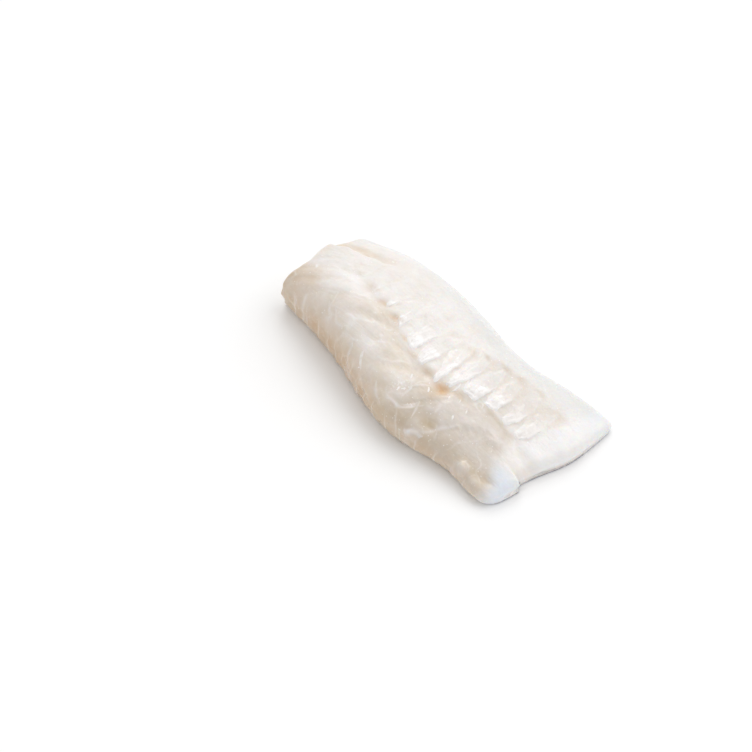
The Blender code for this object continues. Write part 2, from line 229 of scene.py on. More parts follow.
# Tip's front corner (x, y), tip width, set-back of its back corner, flake length, drift of the
# free edge over that length, bow of the edge, and height of the edge, in millimetres.
FLAKES = np.array([
    (-42.0, -5.5, 3.0, 1.0, 12.0, -1.0, 0.5, 0.20),
    (-30.5, -9.2, 3.0, 1.5, 13.0, -1.5, 0.5, 0.25),
    (-19.3, -11.3, 2.4, 1.4, 13.0, 0.8, 0.2, 0.30),
    (-8.7, -13.8, 3.0, 1.4, 14.0, -0.2, 0.1, 0.35),
    (3.3, -17.5, 5.8, 2.3, 23.3, 0.2, 0.4, 0.55),
    (11.6, -19.5, 4.2, 1.2, 23.4, -2.1, 1.3, 0.55),
    (21.2, -20.2, 1.8, 0.8, 26.0, -5.7, 2.0, 0.65),
    (26.8, -17.4, 2.4, 0.2, 24.3, -2.3, 2.1, 0.65),
    (36.8, -13.6, 6.2, -0.4, 20.6, -4.3, 2.4, 0.75),
    (45.2, -10.4, 4.9, -0.7, 18.2, -3.7, 1.9, 0.70),
    (52.9, -11.4, 3.3, 0.9, 20.2, -1.9, 2.6, 0.65),
    (61.2, -12.3, 4.0, 1.4, 22.2, -1.2, 2.5, 0.60),
]) * MM
FLAKE_PITCH = 9.0 * MM
HIDDEN_PAST = 1.6 * FLAKE_PITCH    # a flake is covered by others this far behind its edge
FLAKE_TAIL = 0.15                  # height left one pitch behind the edge
TIP_SHARE = 0.35                   # height at the tip as a share of the full height
THICKENS_OVER = 5 * MM
NOTCH_SLOPE = 2.4                  # how steeply the seam climbs from one tip to the next
MARK_PER_LIFT = 1.6 / MM           # a flake's colours grow with its height, to full at 0.6 mm
# Share of each flake's length where its edge begins to sink away, and over which it does.
MELTS_FROM = np.array([0.20, 0.20, 0.20, 0.20, 0.18, 0.22, 0.42, 0.36, 0.30, 0.30, 0.25, 0.22])
MELTS_OVER = 0.45
FOOT_DEPTH = 0.25 * MM             # the hollow at the foot of a free edge
FOOT_WIDTH = 1.6 * MM
WEDGE_FROM = 0.52                  # share of a flake's length where the gap before it opens
WEDGE_SPREAD = 0.62                # and how much wider it gets for each millimetre up
WEDGE_DEPTH = 0.25 * MM
FADING_EDGE = 5.0                  # an edge gets this much softer towards the far end
RAGGED = 0.35 * MM                 # how far an edge wanders
# Width of the painted highlight along a free edge.
LIT_RIM_WIDTH = 0.45 * MM
# Where a flake is white, its own white with painted wet sheen over it: width of the white strip
# behind its free edge at the tip and higher up, length of the strip, in millimetres, and how white it is.
WHITES_AND_SHEEN = np.array([
    (2.0, 2.0, 4.0, 0.20),
    (3.0, 3.0, 5.0, 0.30),
    (2.6, 3.0, 6.0, 0.55),
    (3.2, 4.5, 8.0, 0.65),
    (3.4, 10.0, 15.0, 1.00),
    (3.4, 7.5, 14.0, 0.95),
    (1.8, 3.0, 16.0, 1.00),
    (2.6, 3.6, 14.0, 0.90),
    (6.4, 5.0, 10.0, 0.85),
    (5.0, 4.5, 8.0, 0.80),
    (3.6, 3.5, 3.5, 0.45),
    (4.2, 4.0, 3.5, 0.45),
])
WHITES_AND_SHEEN[:, :3] *= MM
WHITE_FADE = (1.4 * MM, 5 * MM)    # how softly the white ends behind the edge and up the flake


def free_edge(flake, y):
    """X of a flake's free edge at `y`: a straight drift over its length with a bow on it."""
    tip_x, tip_y, length, drift, bow = flake[[0, 1, 4, 5, 6]]
    along = (y - tip_y) / length
    return tip_x + drift * along + 4 * bow * along * (1 - along)


def tip_end(flake, behind):
    """Y of a flake's tip at a distance behind its free edge: aslant, then rising to the next flake."""
    tip_y, width, back = flake[1:4]
    return tip_y + back * np.clip(behind / width, 0, 1) + NOTCH_SLOPE * np.maximum(0, behind - width)


def flake_rise(lift, behind, inward):
    """Height of a flake: thin at its tip, thicker upwards, and sloping down behind its free edge."""
    slope = 1 - (1 - FLAKE_TAIL) * np.clip(behind / FLAKE_PITCH, 0, 1)
    return lift * slope * (TIP_SHARE + (1 - TIP_SHARE) * ease(inward / THICKENS_OVER))


def melted(along, start):
    """How much of a flake's height is left at a share of its length: it melts into the back."""
    return 1 - ease((along - start) / MELTS_OVER)


def wander(x, y):
    """How far a torn edge strays along X and along Y."""
    return (RAGGED * swell(x, y, 9 * MM, 2 * MM, seed=21, count=14),
            RAGGED * swell(x, y, 7 * MM, 1.6 * MM, seed=22, count=14))


def flakes(x, y):
    """Height of the flakes over the ground, and masks for their hollows, edges and tips.

    A flake runs from its tip at the seam towards the back. It is highest at its free edge and
    slopes down behind it until the next flake covers it. In front of its edge lies a foot, which
    opens into a wedge towards the back.
    """
    stray_x, stray_y = wander(x, y)
    height = np.zeros(x.shape)
    marks = {name: np.zeros(x.shape) for name in ("foot", "wedge", "lip", "tip", "zone")}
    for flake, (strip, strip_top, white_length, white), melts in zip(FLAKES, WHITES_AND_SHEEN, MELTS_FROM):
        tip_y, length, lift = flake[[1, 4, 7]]
        along = (y + stray_y - tip_y) / length
        behind = free_edge(flake, y + stray_y) - x - stray_x
        inward = y + stray_y - tip_end(flake, behind)
        soft = EDGE_SOFTNESS * (1 + FADING_EDGE * np.clip(along, 0, 1) ** 2)
        cover = ease(0.5 + behind / soft) * ease(0.5 + inward / EDGE_SOFTNESS)
        cover *= melted(along, melts) * (behind < HIDDEN_PAST)
        rise = flake_rise(lift, behind, inward) * cover
        on_top = rise > height
        height = np.maximum(height, rise)
        strength = min(MARK_PER_LIFT * lift, 1)
        wide = strip + (strip_top - strip) * np.clip(inward / white_length, 0, 1)
        near_edge = 1 - ease((behind - wide) / WHITE_FADE[0])
        near_tip = near_edge * (1 - ease((inward - 0.7 * white_length) / WHITE_FADE[1]))
        from_edge = np.maximum(np.minimum(behind, inward), 0)
        # A painted highlight along the free edge, and the tip's white with painted wet sheen.
        rim = np.exp(-from_edge / LIT_RIM_WIDTH) * (1 - ease((along - 0.3) / 0.4))
        marks["lip"] = np.where(on_top, strength * rim * cover, marks["lip"])
        marks["tip"] = np.where(on_top, white * near_tip * cover, marks["tip"])
        marks["zone"] = np.maximum(marks["zone"], strength * cover)
        window = ease((along + 0.05) / 0.2) * (1 - ease((along - melts - 0.2) / 0.4)) * strength
        marks["foot"] = np.maximum(marks["foot"], window * bump(behind + 0.7 * FOOT_WIDTH, FOOT_WIDTH))
        spread = WEDGE_SPREAD * np.maximum(along - WEDGE_FROM, 0) * length
        wedge = ease(0.5 - behind / MM) * ease((spread + behind) / (2 * MM))
        wedge *= 1 - ease((along - 0.9) / 0.25)
        marks["wedge"] = np.maximum(marks["wedge"], strength * wedge)
    marks["foot"] *= 1 - ease(height / (0.7 * MM))
    return height - FOOT_DEPTH * marks["foot"] - WEDGE_DEPTH * marks["wedge"], marks


# 3. Belly side, groove and hollows ----------------------------------------------------------
# Past the seam the belly muscle is smooth blocks with thin pale seams between them. A groove
# runs along the back at the thick end, and soft lumps stand at the thin corner.

BLOCK_SEAMS = np.array([-55, -42, -31, -20, -9, 4, 16, 27, 38, 48, 58]) * MM
BLOCK_LEAN = (1.7, 0.5)            # slant of the seams at the thick and the thin end
BLOCK_DEPTH = 0.22 * MM
BLOCK_WIDTH = 2.6 * MM
GROOVE_X = np.array([-75, -66, -51, -37, -20]) * MM
GROOVE_Y = np.array([4.5, 6.0, 7.0, 8.6, 8.4]) * MM
GROOVE_END = (-60 * MM, -36 * MM)  # it fades out between these places
GROOVE_WANDER = 0.9 * MM
GROOVE_LIP = 0.9 * MM              # height of the flesh at its edge
GROOVE_BEHIND = 9.0 * MM           # and how far back that goes
GROOVE_DEPTH = 0.7 * MM
GROOVE_WIDTH = 2.4 * MM
# x, y, radius along X, radius along Y, height, in millimetres.
SWELLINGS = np.array([
    (58.5, -38.0, 3.0, 2.4, 1.3),
    (65.8, -38.8, 3.4, 2.2, 1.1),
    (69.0, -34.0, 2.4, 1.8, -0.8),
    (35.0, -35.0, 4.5, 3.2, -1.0),
    (15.5, -20.3, 3.8, 2.6, -1.2),
    (25.2, -20.6, 3.4, 3.6, -1.5),
    (27.0, -36.0, 1.6, 5.0, -0.5),
    (38.0, -27.0, 11.0, 8.0, 0.6),
    (3.0, -32.0, 9.0, 6.0, 0.5),
    (-36.0, -19.0, 12.0, 8.0, 0.6),
    (-22.5, -10.8, 2.6, 1.8, -0.5),
    (-13.5, -12.3, 2.8, 1.8, -0.6),
    (68.0, -3.0, 7.0, 22.0, 0.6),
    (-44.0, 18.0, 27.0, 10.0, 1.9),
]) * MM
WAVE_LENGTH = 26 * MM
WAVE_HEIGHT = 0.35 * MM
RUMPLE_HEIGHT = 0.07 * MM          # soft lumps, 3 to 9 mm across
FINE_RUMPLE_HEIGHT = 0.03 * MM     # and smaller ones
CREASE_HEIGHT = 0.10 * MM          # thin raised lines where a swell crosses zero


def groove(x, y):
    """How far across the groove's edge a point is, and how strong the groove is there."""
    past = y - curve_through(GROOVE_X, GROOVE_Y, x) + GROOVE_WANDER * swell(x, y, 16 * MM, 6 * MM, seed=33)
    return past, 1 - ease((x - GROOVE_END[0]) / (GROOVE_END[1] - GROOVE_END[0]))


def ground(x, y):
    """Height of everything but the flakes over the smooth body."""
    aside = y - curve_through(SEAM_X, SEAM_Y, x)
    opened = ease((x - SEAM_FROM[0]) / (SEAM_FROM[1] - SEAM_FROM[0]))
    height = -SEAM_DEPTH * opened * bump(aside + 0.6 * SEAM_WIDTH, SEAM_WIDTH)
    lean = np.interp(x, (-LENGTH / 2, LENGTH / 2), BLOCK_LEAN)
    met_at = x + lean * np.maximum(-aside, 0) + 1.2 * MM * swell(x, y, 24 * MM, 9 * MM, seed=31)
    for place in BLOCK_SEAMS:
        height -= BLOCK_DEPTH * ease(-aside / (4 * MM)) * bump(met_at - place, BLOCK_WIDTH)

    past, strength = groove(x, y)
    inner = ease(0.5 - past / (2 * EDGE_SOFTNESS)) * np.exp(np.minimum(past, 0) / GROOVE_BEHIND)
    hollow = ease(past / MM + 0.5) * bump(past - 0.5 * GROOVE_WIDTH, GROOVE_WIDTH)
    height += strength * (GROOVE_LIP * inner - GROOVE_DEPTH * hollow)

    for at_x, at_y, wide_x, wide_y, rise in SWELLINGS:
        height += rise * np.exp(-((x - at_x) / wide_x) ** 2 - ((y - at_y) / wide_y) ** 2)
    lobe = ease((LOBE_SIDE - y) / EDGE_SOFTNESS + 0.5) * ease((x - LENGTH / 2 + END_ZONE) / END_ZONE)
    height += LOBE_HEIGHT * lobe
    height += WAVE_HEIGHT * swell(x, y, WAVE_LENGTH, 0.35 * WAVE_LENGTH, seed=7)
    height += RUMPLE_HEIGHT * swell(x, y, 9 * MM, 3 * MM, seed=8, count=18)
    return height + FINE_RUMPLE_HEIGHT * swell(x, y, 3.2 * MM, 1.4 * MM, seed=9, count=24)


# Where beige flesh shows in a hollow: x, y, radii in millimetres, strength.
DEEP_SPOTS = np.array([
    (-22.3, -10.8, 2.6, 1.5, 0.8),
    (-13.5, -12.3, 3.0, 1.6, 0.7),
    (-2.6, -15.8, 2.0, 1.0, 0.7),
    (6.0, -18.5, 3.0, 1.4, 0.3),
    (15.6, -19.6, 3.6, 2.2, 0.45),
    (25.2, -19.8, 3.2, 2.6, 1.5),
    (26.0, -24.0, 3.4, 3.4, 0.2),
    (32.0, -16.6, 2.4, 2.2, 0.3),
])
# Thin pale seams in the belly and torn membrane, and two painted highlights at the thick end's belly
# corner: three points (x, y) each, half width, strength.
SEPTA_AND_HIGHLIGHTS = np.array([
    (-37.0, -19.5, -33.0, -17.3, -29.5, -15.8, 0.5, 0.6),
    (-29.0, -24.6, -21.5, -23.8, -15.5, -19.5, 0.6, 1.0),
    (-10.5, -28.8, -7.2, -24.6, -2.8, -22.4, 0.5, 0.7),
    (-3.0, -31.0, 4.0, -27.0, 8.2, -21.8, 0.6, 0.6),
    (10.0, -36.0, 20.0, -39.2, 26.0, -32.0, 0.6, 1.0),
    (16.0, -27.5, 18.2, -31.5, 19.2, -36.0, 0.4, 0.6),
    (17.8, -27.5, 18.6, -25.0, 19.6, -22.6, 0.3, 0.6),
    (33.0, -41.5, 39.0, -34.5, 44.5, -25.5, 0.8, 0.5),
    (47.0, -38.0, 50.5, -30.0, 53.5, -21.0, 0.5, 0.25),
    (-36.5, -25.2, -31.0, -28.6, -26.0, -30.0, 0.5, 0.6),
    (-38.5, -25.0, -37.0, -27.6, -34.5, -29.0, 0.4, 0.6),
    (5.5, -37.5, 7.5, -40.0, 10.5, -41.6, 0.7, 0.8),
    (25.8, -32.2, 26.8, -35.0, 28.3, -38.6, 0.4, 1.0),
    (25.6, -31.8, 24.0, -35.0, 21.0, -37.6, 0.4, 0.9),
    (28.5, -42.6, 33.0, -41.6, 37.0, -39.4, 0.9, 0.9),
    (56.4, -38.2, 57.6, -35.4, 61.0, -37.2, 0.4, 0.5),
    (62.8, -38.8, 65.0, -36.2, 68.6, -38.4, 0.4, 0.5),
    # Painted highlights at the thick end's belly corner.
    (-66.0, -11.6, -65.0, -12.3, -64.0, -13.2, 0.5, 0.9),
    (-48.5, -14.8, -47.5, -13.6, -46.0, -12.2, 0.5, 0.7),
    (-60.0, -9.0, -52.0, -8.2, -45.0, -10.0, 0.4, 0.4),
    (-70.0, -1.0, -60.0, 0.4, -50.0, 0.2, 0.5, 0.3),
    (-38.0, -16.5, -31.0, -14.2, -24.5, -12.8, 0.3, 0.7),
    (-41.5, -19.5, -39.5, -24.0, -37.0, -28.5, 0.4, 0.8),
    (-27.0, -31.0, -18.0, -31.0, -10.5, -28.8, 0.4, 0.7),
    (-18.0, -30.5, -15.5, -34.5, -12.5, -38.0, 0.4, 0.5),
    (7.5, -39.0, 10.0, -41.0, 13.0, -42.0, 0.4, 0.5),
    (17.4, -29.2, 19.6, -25.6, 22.4, -23.2, 0.3, 0.7),
    (20.5, -39.0, 24.0, -36.6, 27.2, -31.6, 0.4, 0.9),
    (58.0, -12.5, 62.0, -14.5, 67.0, -20.0, 0.5, 0.4),
])
SEPTA_AND_HIGHLIGHTS[:, :7] *= MM
# Soft milky patches, and one painted highlight line on the glossy patch: x, y, radii in millimetres,
# strength.
MILKY_AND_HIGHLIGHT_SPOTS = np.array([
    (-25.0, -23.6, 7.0, 1.6, 1.0),
    (-18.0, -26.0, 9.0, 5.0, 0.7),
    (-10.0, -30.0, 5.0, 3.5, 0.5),
    (13.0, -29.2, 4.6, 2.6, 0.8),
    # A painted highlight line.
    (14.0, -34.5, 4.4, 1.0, 1.0),
    (10.5, -32.0, 5.5, 4.0, 0.5),
    (-42.0, -11.0, 8.0, 4.0, 0.25),
    (-10.0, -26.0, 6.0, 3.0, 0.3),
    (36.0, -37.5, 3.0, 1.6, 0.5),
    (58.5, -38.0, 2.4, 1.6, 0.5),
    (65.8, -38.8, 2.4, 1.6, 0.25),
    (-50.0, -10.0, 18.0, 3.0, 0.4),
])
# Painted wet glints on the glossy patch: x, y, radii in millimetres, strength.
PAINTED_GLINT_SPOTS = np.array([
    (14.8, -31.4, 3.4, 2.6, 1.0),
    (13.8, -34.6, 3.0, 0.9, 1.0),
])
# Soft beige patches: painted shade in the hollows along the seam, at the flakes' upper ends and
# round the thick end's belly corner, and elsewhere beige flesh where light goes deep: x, y, radii
# in millimetres, strength.
BEIGE_AND_SHADE_SPOTS = np.array([
    (-74.0, -24.0, 6.0, 8.0, 1.0),
    (-44.5, -4.6, 2.6, 1.8, 0.7),
    (-33.5, -7.6, 3.6, 2.0, 0.8),
    (-14.0, -16.0, 8.0, 3.0, 0.3),
    (-3.0, 7.2, 3.0, 1.6, 0.3),
    (6.0, -18.5, 3.0, 1.4, 0.4),
    (6.0, -37.0, 8.0, 3.0, 0.3),
    (12.0, -25.0, 6.0, 3.0, 0.3),
    (15.6, -19.6, 3.8, 2.2, 0.45),
    (16.2, 3.6, 2.6, 2.0, 0.4),
    (15.0, -43.5, 5.0, 2.6, 0.5),
    (21.0, -27.5, 6.0, 4.0, 0.5),
    (22.0, 7.2, 2.4, 1.0, 0.9),
    (24.5, -36.0, 5.0, 5.0, 0.6),
    (24.0, -41.5, 6.0, 2.4, 0.8),
    (26.0, -24.0, 3.6, 3.4, 0.7),
    (30.5, 9.8, 3.4, 1.6, 0.9),
    (32.0, -16.6, 2.4, 2.2, 0.6),
    (34.5, -35.5, 3.6, 2.8, 1.4),
    (38.5, 10.6, 2.6, 2.0, 0.8),
    (40.0, -39.0, 7.0, 4.0, 0.4),
    (44.0, -11.8, 4.0, 0.9, 0.6),
    (48.0, 12.4, 3.4, 1.2, 0.6),
    (48.0, -36.0, 9.0, 4.0, 0.6),
    (51.0, -12.0, 3.5, 0.9, 0.6),
    (58.5, -12.6, 3.5, 0.9, 0.6),
    (60.0, 11.0, 4.0, 2.0, 0.4),
    (61.0, -36.0, 6.0, 3.5, 0.7),
    (67.0, -38.0, 5.0, 4.5, 0.6),
    (69.0, -34.4, 2.2, 1.6, 0.9),
])
# Where the belly's colour begins, across.
TONE_X = np.array([-75, -60, -45, -32, -18, -3, 12, 22, 30, 45, 61, 74]) * MM
TONE_Y = np.array([-13, -16.5, -18.5, -15, -12.5, -17, -20.5, -21, -15.5, -11.3, -12.7, -14]) * MM


def spots(x, y, table):
    """Sum of soft round patches."""
    total = np.zeros(x.shape)
    for at_x, at_y, wide_x, wide_y, strength in table:
        total += strength * np.exp(-((x / MM - at_x) / wide_x) ** 2 - ((y / MM - at_y) / wide_y) ** 2)
    return total


def bend_through(ends, count):
    """Points along the parabola through three points: Lagrange's weights for 0, a half and 1."""
    run = np.linspace(0, 1, count)
    weights = np.stack([(1 - run) * (1 - 2 * run), 4 * run * (1 - run), run * (2 * run - 1)], axis=1)
    return weights @ np.reshape(ends, (3, 2))


def stroke(x, y, ends, width, count=28):
    """Mask along the bend through three points, thinning to nothing at its ends."""
    nearest = np.full(x.shape, 9.0)
    for share, (at_x, at_y) in zip(np.linspace(0, 1, count), bend_through(ends, count)):
        reach = width * (0.35 + 0.65 * math.sin(math.pi * share))
        nearest = np.minimum(nearest, np.hypot(x - at_x, y - at_y) / reach)
    return np.exp(-nearest ** 2)


def creases(x, y, longest, seed, thin=0.16):
    """Mask of thin winding lines: where a swell of waves crosses zero."""
    return bump(swell(x, y, longest, 0.4 * longest, seed, count=12), thin)


def relief(x, y):
    """Height over the smooth body, and masks for the colours: a dictionary of 0 to 1 arrays."""
    height, marks = flakes(x, y)
    height += ground(x, y)
    past, strength = groove(x, y)
    # Painted shade in the groove's hollow, for the gap shade and the deep colour below.
    hollow = strength * ease(past / MM + 0.5) * bump(past - 0.6 * GROOVE_WIDTH, 1.2 * GROOVE_WIDTH)
    aside = y - curve_through(TONE_X, TONE_Y, x)
    belly = ease(0.3 - aside / (5 * MM))
    bent_x = x + 0.5 * MM * swell(x, y, 9 * MM, 3 * MM, seed=41)
    bent_y = y + 0.5 * MM * swell(x, y, 9 * MM, 3 * MM, seed=42)
    pale = np.zeros(x.shape)
    for row in SEPTA_AND_HIGHLIGHTS:
        pale = np.maximum(pale, row[7] * stroke(bent_x, bent_y, row[:6], row[6]))
    threads = creases(0.45 * bent_x, bent_y, 11 * MM, seed=43)
    threads *= ease(swell(x, y, 16 * MM, 6 * MM, seed=44) + 0.3)
    threads *= (1 - marks["zone"]) * (0.35 + 0.65 * belly)
    deep = spots(bent_x, bent_y, DEEP_SPOTS) + 0.15 * hollow
    groove_and_gap_shade = 0.25 * marks["wedge"] + 0.7 * hollow
    height += CREASE_HEIGHT * np.maximum(pale, 0.6 * threads)
    return height, {
        "deep": np.clip(deep * (1 - marks["lip"]), 0, 1.5), "groove_and_gap_shade": np.clip(groove_and_gap_shade, 0, 1),
        "pale": np.maximum(pale, 0.45 * threads),
        "milky": np.clip(spots(bent_x, bent_y, MILKY_AND_HIGHLIGHT_SPOTS), 0, 1), "belly": belly,
        "beige": np.clip(spots(bent_x, bent_y, BEIGE_AND_SHADE_SPOTS) * (1 - marks["lip"]), 0, 1.6),
        "painted_glints": np.clip(spots(bent_x, bent_y, PAINTED_GLINT_SPOTS), 0, 1),
        "lip": marks["lip"], "tip": marks["tip"], "veil": marks["zone"],
    }


def smooth_top(x, y):
    """Height of the smooth body's top over a point, away from the end cuts, and how far it faces up."""
    share = x / LENGTH + 0.5
    stations = np.linspace(0, 1, len(THICKNESS))
    belly = curve_through(stations, BELLY_EDGE, share)
    back = curve_through(stations, BACK_EDGE, share)
    thick = curve_through(stations, THICKNESS, share)
    across = np.clip((2 * y - belly - back) / (back - belly), -0.995, 0.995)
    height = (1 - np.abs(across) ** FULLNESS) ** (1 / FULLNESS)
    widest = np.where(across > 0, WIDEST_AT[0], WIDEST_AT[1]) * thick
    return widest + (thick - widest) * height * (1 + CROWN_LEAN * across), ease(height / 0.45)


def to_frame(x, y, z):
    """Section coordinates moved to the part's own frame: skewed, cut at the ends, and centred."""
    share = x / LENGTH + 0.5
    skewed = x + y * (CUT_SKEW[0] * (1 - share) + CUT_SKEW[1] * share) + end_reach(y, x + LENGTH / 2)
    return np.stack([skewed - centre[0], y - centre[1], np.maximum(z, 0)], axis=-1)


def evened(values, rounds):
    """A net's values smoothed: each point takes the mean of its neighbours, so many times."""
    for _ in range(rounds):
        around = (np.roll(values, 1, axis=1) + np.roll(values, -1, axis=1)) / 2
        padded = np.concatenate([values[:1], values, values[-1:]])
        values = (around + (padded[:-2] + padded[2:]) / 2) / 2
    return values


def held_under_rim(y, z, scale, level):
    """Heights of the end faces' points, none of them over the rim of their face, nor folded over it.

    A point may reach as far over `level` as the rim beside it, less what its ring is scaled by.
    """
    body = np.flatnonzero(scale[:, 0] == 1)
    held = z.copy()
    for rim, rings in ((body[0], range(body[0])), (body[-1], range(body[-1] + 1, len(z)))):
        order = np.argsort(y[rim, :TOP_POINTS])
        for ring in rings:
            limit = np.interp(y[ring], y[rim, :TOP_POINTS][order], z[rim, :TOP_POINTS][order])
            reach = (limit - level[ring]) * (0.2 + 0.8 * scale[ring])
            held[ring] = np.minimum(z[ring], level[ring] + reach)
    return held


SKIN_EDGE_Y = (-26 * MM, -8 * MM)  # where the torn skin shows most at the thin end
SKIN_HEIGHT = (0.7 * MM, 1.3 * MM)  # height of the dark edge: a painted contact shadow elsewhere, torn skin there
WHITE_END_Y = np.array([-42, -34, -27, -20, -11, 6, 32]) * MM
WHITE_END_X = np.array([73, 70.5, 64.5, 62, 60, 64, 66]) * MM   # where the thin white end begins
# The thick end's beige belly corner is painted shade.
END_SHADE_FROM = -50 * MM           # the thick end's belly side is beige from here
LOW_FOLDS = 0.6 * MM               # height of the soft folds along the belly side's low edge
EVENED_ROUNDS = 60                 # a hollow or a ridge is judged against the net smoothed so often
CAVITY_DEPTH = 0.14 * MM           # and has its full colour at this depth or height
# How strong the low wall's beige and painted shade are along the belly side.
SIDE_TONE_AND_SHADE_X = np.array([-75, -60, -25, 0, 15, 45, 62, 70]) * MM
SIDE_TONE_AND_SHADE = np.array([0.6, 0.77, 0.90, 0.85, 0.65, 0.55, 0.4, 0.0])


def loin_surface():
    """Section coordinates and heights of the fine net, rings by points round, and the masks on them.

    Besides the masks of the relief these are: hollow and ridge, how far a point lies under or over
    the mean of its neighbours, for painted shade and a painted highlight; side, the beige low wall
    with painted shade and painted warm reflected light, darker towards the bottom, and painted shade
    round the thick end's belly corner; white_end and blue_end, the thin end; dusk, greyer flesh;
    dull, the drier thick end; back, the rim on the back's side; skin, the torn edge at the thin end
    and a painted contact shadow along the rest of its lower edge; wall, the steep sides; cut, how
    far in a point is on an end face; under, the flat underside.
    """
    distance, scale = ring_places()
    y, z, upward, middle, thick = section_points(distance)
    x = distance - LENGTH / 2 + np.zeros(y.shape)
    rise, masks = relief(x, y)
    # Hollows get painted shade and ridges a painted highlight, by how far they lie under or over their
    # neighbours.
    cavity = (evened(rise, EVENED_ROUNDS) - rise) / CAVITY_DEPTH * upward
    masks["hollow"] = np.clip(cavity, 0, 1) * (1 - 0.8 * masks["veil"])
    masks["ridge"] = np.clip(-cavity, 0, 1)
    z = z + upward * rise
    # The low belly wall gets painted shade and painted warm reflected light, darker towards the bottom, and
    # the thick end's belly corner painted shade.
    low = 1 - ease((z / thick - 0.35) / 0.55)
    end_shade = ease((END_SHADE_FROM - x) / (16 * MM)) * ease((-9 * MM - y) / (7 * MM))
    masks["side"] = np.maximum(low, 0.6 * end_shade) * np.interp(x, SIDE_TONE_AND_SHADE_X, SIDE_TONE_AND_SHADE) * (y < middle)
    white_end = ease((x - np.interp(y, WHITE_END_Y, WHITE_END_X)) / (8 * MM) + 0.5)
    masks["white_end"] = white_end
    masks["blue_end"] = white_end * (0.22 + 0.78 * ease((-22 * MM - y) / (8 * MM)))
    far_rim = ease((-54 * MM - x) / (14 * MM)) * ease((y + 15 * MM) / (6 * MM))
    dusk = ease((x - 8 * MM) / (20 * MM)) * (1 - white_end) * masks["belly"] * upward
    grey_flakes = ease((x - 16 * MM) / (12 * MM)) * (1 - white_end) * ease((y + 12 * MM) / (8 * MM))
    grey_flakes *= ease((18 * MM - y) / (9 * MM))
    masks["dull"] = ease((-10 * MM - x) / (16 * MM))
    masks["dusk"] = np.max([dusk, 0.45 * grey_flakes, 0.5 * far_rim, 0.2 * masks["dull"]], axis=0)
    outward = (y - middle) / (y.max(axis=1, keepdims=True) - middle)
    masks["back"] = ease((outward - 0.42) / 0.50)
    # The dark edge at the thin end's foot is torn skin where it is widest and a painted contact shadow
    # elsewhere.
    torn = ease((y - SKIN_EDGE_Y[0]) / (2 * MM)) * ease((SKIN_EDGE_Y[1] - y) / (6 * MM))
    uneven = 0.75 + 0.5 * swell(x, y, 5 * MM, MM, seed=34)
    skin_top = SKIN_HEIGHT[0] + (SKIN_HEIGHT[1] - SKIN_HEIGHT[0]) * torn * uneven
    at_end = ease((distance - LENGTH) / MM + 1.5)
    masks["skin"] = at_end * ease((skin_top - z) / (0.4 * MM) + 0.5)
    masks["wall"] = 1 - upward + np.zeros(x.shape)
    masks["under"] = (z < 0.05 * MM) * (1 - masks["skin"])
    masks["cut"] = 1 - scale + np.zeros(x.shape)
    folds = LOW_FOLDS * swell(x, z, 11 * MM, 3 * MM, seed=36, count=12)
    y = y - folds * low * (y < middle) * ease(z / MM)
    y = middle + (y - middle) * scale
    level = FACE_HEIGHT * thick
    z = held_under_rim(y, level + (z - level) * scale, scale, level)
    return x, y, z, masks


def closed_tube(name, points, masks):
    """Mesh of nets of rings: quads between neighbouring rings, and a fan of triangles on both ends.

    `points` holds one net or several of the same size, and `masks` their values.
    """
    points = points.reshape(-1, *points.shape[-3:])
    nets, rings, around = points.shape[:3]
    net = rings * around
    index = np.arange(net).reshape(rings, around)
    a, b = index[:-1], index[1:]
    walls = np.stack([a, np.roll(a, -1, axis=1), np.roll(b, -1, axis=1), b], -1).reshape(-1, 4)
    near, far = index[0], index[-1]
    fans = np.concatenate([np.stack([np.full(around, net), np.roll(near, -1), near], -1),
                           np.stack([np.full(around, net + 1), far, np.roll(far, -1)], -1)])
    ends = points[:, [0, -1]].mean(axis=2)
    vertices = np.concatenate([points.reshape(nets, net, 3), ends], axis=1).reshape(-1, 3)
    faces = []
    for first in range(0, nets * (net + 2), net + 2):
        faces += (walls + first).tolist() + (fans + first).tolist()
    mesh = bpy.data.meshes.new(name)
    mesh.from_pydata(vertices, [], faces)
    mesh.shade_smooth()
    for key, values in masks.items():
        values = values.reshape(nets, rings, around)
        flat = np.concatenate([values.reshape(nets, net), values[:, [0, -1]].mean(axis=2)], axis=1)
        layer = mesh.attributes.new(key, "FLOAT", "POINT")
        layer.data.foreach_set("value", flat.astype(np.float32).reshape(-1))
    piece = bpy.data.objects.new(name, mesh)
    bpy.context.collection.objects.link(piece)
    return piece


def carried(piece):
    """Hides the loin's solid, which the piece stands in for, and hangs the piece on the root body so it
    moves with it.
    """
    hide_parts("cod_loin")
    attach(piece, "root")


# 4. The flesh -------------------------------------------------------------------------------
# Raw cod is moist and lets light in: white where it is thick and dry, greyer and pinker where it
# is translucent on the belly side, painted beige shade between the flakes and in hollows, and wet
# and glossy on their tips, whose white is partly painted sheen.
# Its skinned underside keeps a silvery film over folded seams, and a cut end shows pale rings.


def srgb(red, green, blue):
    """A colour as seen, 0 to 255, turned into the linear values that a shader takes."""
    channel = np.array([red, green, blue]) / 255
    linear = np.where(channel <= 0.04045, channel / 12.92, ((channel + 0.055) / 1.055) ** 2.4)
    return (*linear.tolist(), 1.0)


FLESH_WHITE = srgb(238, 235, 232)
FLESH_CREAM = srgb(233, 227, 219)
FLESH_PINK = srgb(235, 225, 221)
FLESH_CLEAR = srgb(229, 219, 208)
FLESH_OLIVE = srgb(221, 210, 190)
FLESH_DUSK = srgb(206, 198, 190)
# Partly painted shade in hollows.
FLESH_BEIGE_AND_SHADE = srgb(197, 176, 143)
# Painted shade and painted warm reflected light on the low belly wall.
FLESH_SIDE_TONE_AND_SHADE = srgb(204, 172, 134)
